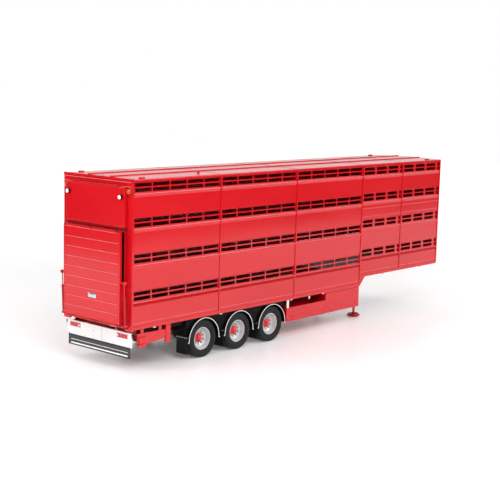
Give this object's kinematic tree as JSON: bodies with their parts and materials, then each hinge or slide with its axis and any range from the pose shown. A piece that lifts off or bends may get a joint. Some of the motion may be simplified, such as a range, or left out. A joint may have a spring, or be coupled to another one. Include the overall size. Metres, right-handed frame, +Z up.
{
  "type": "livestock semi-trailer",
  "caption": "Tall step-frame semi-trailer body with rows of ventilation slots, a rear loading ramp, lifting decks, side lockers, landing legs and three sprung axles.",
  "frame": {"origin": "on the ground, under the middle of the trailer's outer box, with the landing feet and tyres standing on it", "axes": "+X forward to the front wall and kingpin, +Y to the trailer's left, +Z up"},
  "size_m": [13.8, 2.55, 4.825],
  "materials": {
    "red": "gloss",
    "red_alloy": "gloss",
    "dark_red": "satin",
    "white": "gloss",
    "black_metal": "satin",
    "silver": "satin",
    "alloy": "polished",
    "steel": "satin",
    "tyre": "matt",
    "rubber": "matt",
    "black_plastic": "matt",
    "white_plastic": "gloss",
    "red_lens": "gloss",
    "amber_lens": "gloss"
  },
  "bodies": {
    "chassis": {"chassis_rails": "dark_red", "cross_members": "dark_red", "floors": "silver", "coupler_plate": "steel", "kingpin": "steel", "side_panels_right": "red_alloy", "side_panels_left": "red_alloy", "side_pillars": "red_alloy", "end_walls": "red_alloy", "rear_frame": "red", "roof": "red_alloy", "cant_rails": "red_alloy", "side_sills": "red", "rear_bumper": "white", "tail_lamps": "red_lens", "spray_flap": "rubber", "mudguards": "black_plastic", "mudguard_trims": "white_plastic", "wheel_flaps": "rubber", "corner_lamps": "amber_lens", "marker_lamps": "white_plastic", "equipment_lockers": "red", "pallet_boxes": "red", "box_hangers": "white", "tail_skirts": "red", "leg_housings": "red", "air_tanks": "black_metal", "air_bellows": "rubber"},
    "ramp": {"tail_ramp": "red_alloy", "ramp_floor": "silver"},
    "upper_door": {"upper_door": "red_alloy", "work_lamps": "white_plastic"},
    "ram_barrel_right": {"ram_barrel_right": "dark_red"},
    "ram_rod_right": {"ram_rod_right": "red"},
    "landing_leg_right": {"landing_leg_right": "red"},
    "foot_pad_right": {"foot_pad_right": "dark_red"},
    "locker_door_right": {"locker_door_right": "red"},
    "ram_barrel_left": {"ram_barrel_left": "dark_red"},
    "ram_rod_left": {"ram_rod_left": "red"},
    "landing_leg_left": {"landing_leg_left": "red"},
    "foot_pad_left": {"foot_pad_left": "dark_red"},
    "locker_door_left": {"locker_door_left": "red"},
    "axle_rear": {"axle_rear": "steel"},
    "wheel_rear_right": {"tyre_rear_right": "tyre", "wheel_rear_right": "alloy"},
    "wheel_rear_left": {"tyre_rear_left": "tyre", "wheel_rear_left": "alloy"},
    "axle_middle": {"axle_middle": "steel"},
    "wheel_middle_right": {"tyre_middle_right": "tyre", "wheel_middle_right": "alloy"},
    "wheel_middle_left": {"tyre_middle_left": "tyre", "wheel_middle_left": "alloy"},
    "axle_front": {"axle_front": "steel"},
    "wheel_front_right": {"tyre_front_right": "tyre", "wheel_front_right": "alloy"},
    "wheel_front_left": {"tyre_front_left": "tyre", "wheel_front_left": "alloy"},
    "deck_lower": {"deck_lower": "silver"},
    "deck_middle": {"deck_middle": "silver"},
    "deck_upper": {"deck_upper": "silver"}
  },
  "joints": [
    {"name": "axle_swing_rear", "type": "hinge", "parent": "chassis", "child": "axle_rear", "pos_m": [-3.647, 0, 0.6], "axis": [0, 1, 0], "range_deg": [-6, 5], "stiffness_Nm_per_rad": 5000000, "deforming": ["air_bellows"]},
    {"name": "wheel_spin_rear_right", "type": "hinge", "parent": "axle_rear", "child": "wheel_rear_right", "pos_m": [-4.127, -1.045, 0.498], "axis": [0, 1, 0], "continuous": true},
    {"name": "wheel_spin_rear_left", "type": "hinge", "parent": "axle_rear", "child": "wheel_rear_left", "pos_m": [-4.127, 1.045, 0.498], "axis": [0, 1, 0], "continuous": true},
    {"name": "axle_swing_middle", "type": "hinge", "parent": "chassis", "child": "axle_middle", "pos_m": [-2.292, 0, 0.6], "axis": [0, 1, 0], "range_deg": [-6, 5], "stiffness_Nm_per_rad": 5000000},
    {"name": "wheel_spin_middle_right", "type": "hinge", "parent": "axle_middle", "child": "wheel_middle_right", "pos_m": [-2.772, -1.045, 0.498], "axis": [0, 1, 0], "continuous": true},
    {"name": "wheel_spin_middle_left", "type": "hinge", "parent": "axle_middle", "child": "wheel_middle_left", "pos_m": [-2.772, 1.045, 0.498], "axis": [0, 1, 0], "continuous": true},
    {"name": "axle_swing_front", "type": "hinge", "parent": "chassis", "child": "axle_front", "pos_m": [-0.937, 0, 0.6], "axis": [0, 1, 0], "range_deg": [-6, 5], "stiffness_Nm_per_rad": 5000000},
    {"name": "wheel_spin_front_right", "type": "hinge", "parent": "axle_front", "child": "wheel_front_right", "pos_m": [-1.417, -1.045, 0.498], "axis": [0, 1, 0], "continuous": true},
    {"name": "wheel_spin_front_left", "type": "hinge", "parent": "axle_front", "child": "wheel_front_left", "pos_m": [-1.417, 1.045, 0.498], "axis": [0, 1, 0], "continuous": true},
    {"name": "ramp_lower", "type": "hinge", "parent": "chassis", "child": "ramp", "pos_m": [-6.85, 0, 1.185], "axis": [0, -1, 0], "range_deg": [0, 119]},
    {"name": "ram_swing_right", "type": "hinge", "parent": "chassis", "child": "ram_barrel_right", "pos_m": [-6.811, -1.163, 1.2075], "axis": [0, -1, 0], "range_deg": [0, 118]},
    {"name": "ram_extend_right", "type": "slide", "parent": "ram_barrel_right", "child": "ram_rod_right", "axis": [-0.0369, 0, 0.9993], "range_m": [0, 0.08]},
    {"name": "ram_swing_left", "type": "hinge", "parent": "chassis", "child": "ram_barrel_left", "pos_m": [-6.811, 1.163, 1.2075], "axis": [0, -1, 0], "range_deg": [0, 118]},
    {"name": "ram_extend_left", "type": "slide", "parent": "ram_barrel_left", "child": "ram_rod_left", "axis": [-0.0369, 0, 0.9993], "range_m": [0, 0.08]},
    {"name": "upper_door_lift", "type": "hinge", "parent": "chassis", "child": "upper_door", "pos_m": [-6.75, 0, 4.607], "axis": [0, 1, 0], "range_deg": [0, 100]},
    {"name": "landing_leg_right", "type": "slide", "parent": "chassis", "child": "landing_leg_right", "axis": [0, 0, 1], "range_m": [0, 0.35]},
    {"name": "foot_tilt_right", "type": "hinge", "parent": "landing_leg_right", "child": "foot_pad_right", "pos_m": [3.15, -0.72, 0.135], "axis": [0, 1, 0], "range_deg": [-12, 12]},
    {"name": "landing_leg_left", "type": "slide", "parent": "chassis", "child": "landing_leg_left", "axis": [0, 0, 1], "range_m": [0, 0.35]},
    {"name": "foot_tilt_left", "type": "hinge", "parent": "landing_leg_left", "child": "foot_pad_left", "pos_m": [3.15, 0.72, 0.135], "axis": [0, 1, 0], "range_deg": [-12, 12]},
    {"name": "deck_lift_upper", "type": "slide", "parent": "chassis", "child": "deck_upper", "axis": [0, 0, 1], "range_m": [0, 0.55]},
    {"name": "deck_lift_middle", "type": "slide", "parent": "chassis", "child": "deck_middle", "axis": [0, 0, 1], "range_m": [0, 1.25]},
    {"name": "deck_lift_lower", "type": "slide", "parent": "chassis", "child": "deck_lower", "axis": [0, 0, 1], "range_m": [0, 2.24]},
    {"name": "locker_door_right", "type": "hinge", "parent": "chassis", "child": "locker_door_right", "pos_m": [1.8, -1.2675, 1.06], "axis": [-1, 0, 0], "range_deg": [0, 85]},
    {"name": "locker_door_left", "type": "hinge", "parent": "chassis", "child": "locker_door_left", "pos_m": [1.8, 1.2675, 1.06], "axis": [1, 0, 0], "range_deg": [0, 85]}
  ],
  "couplings": [
    {"joint": "ram_swing_right", "follows": "ramp_lower", "ratio": 0.9875},
    {"joint": "ram_extend_right", "follows": "ramp_lower", "m_per_rad": 0.0367},
    {"joint": "ram_swing_left", "follows": "ramp_lower", "ratio": 0.9875},
    {"joint": "ram_extend_left", "follows": "ramp_lower", "m_per_rad": 0.0367},
    {"joint": "landing_leg_left", "follows": "landing_leg_right", "ratio": 1},
    {"joint": "deck_lift_middle", "follows": "deck_lift_upper", "ratio": 2.2727},
    {"joint": "deck_lift_lower", "follows": "deck_lift_upper", "ratio": 4.0727}
  ]
}
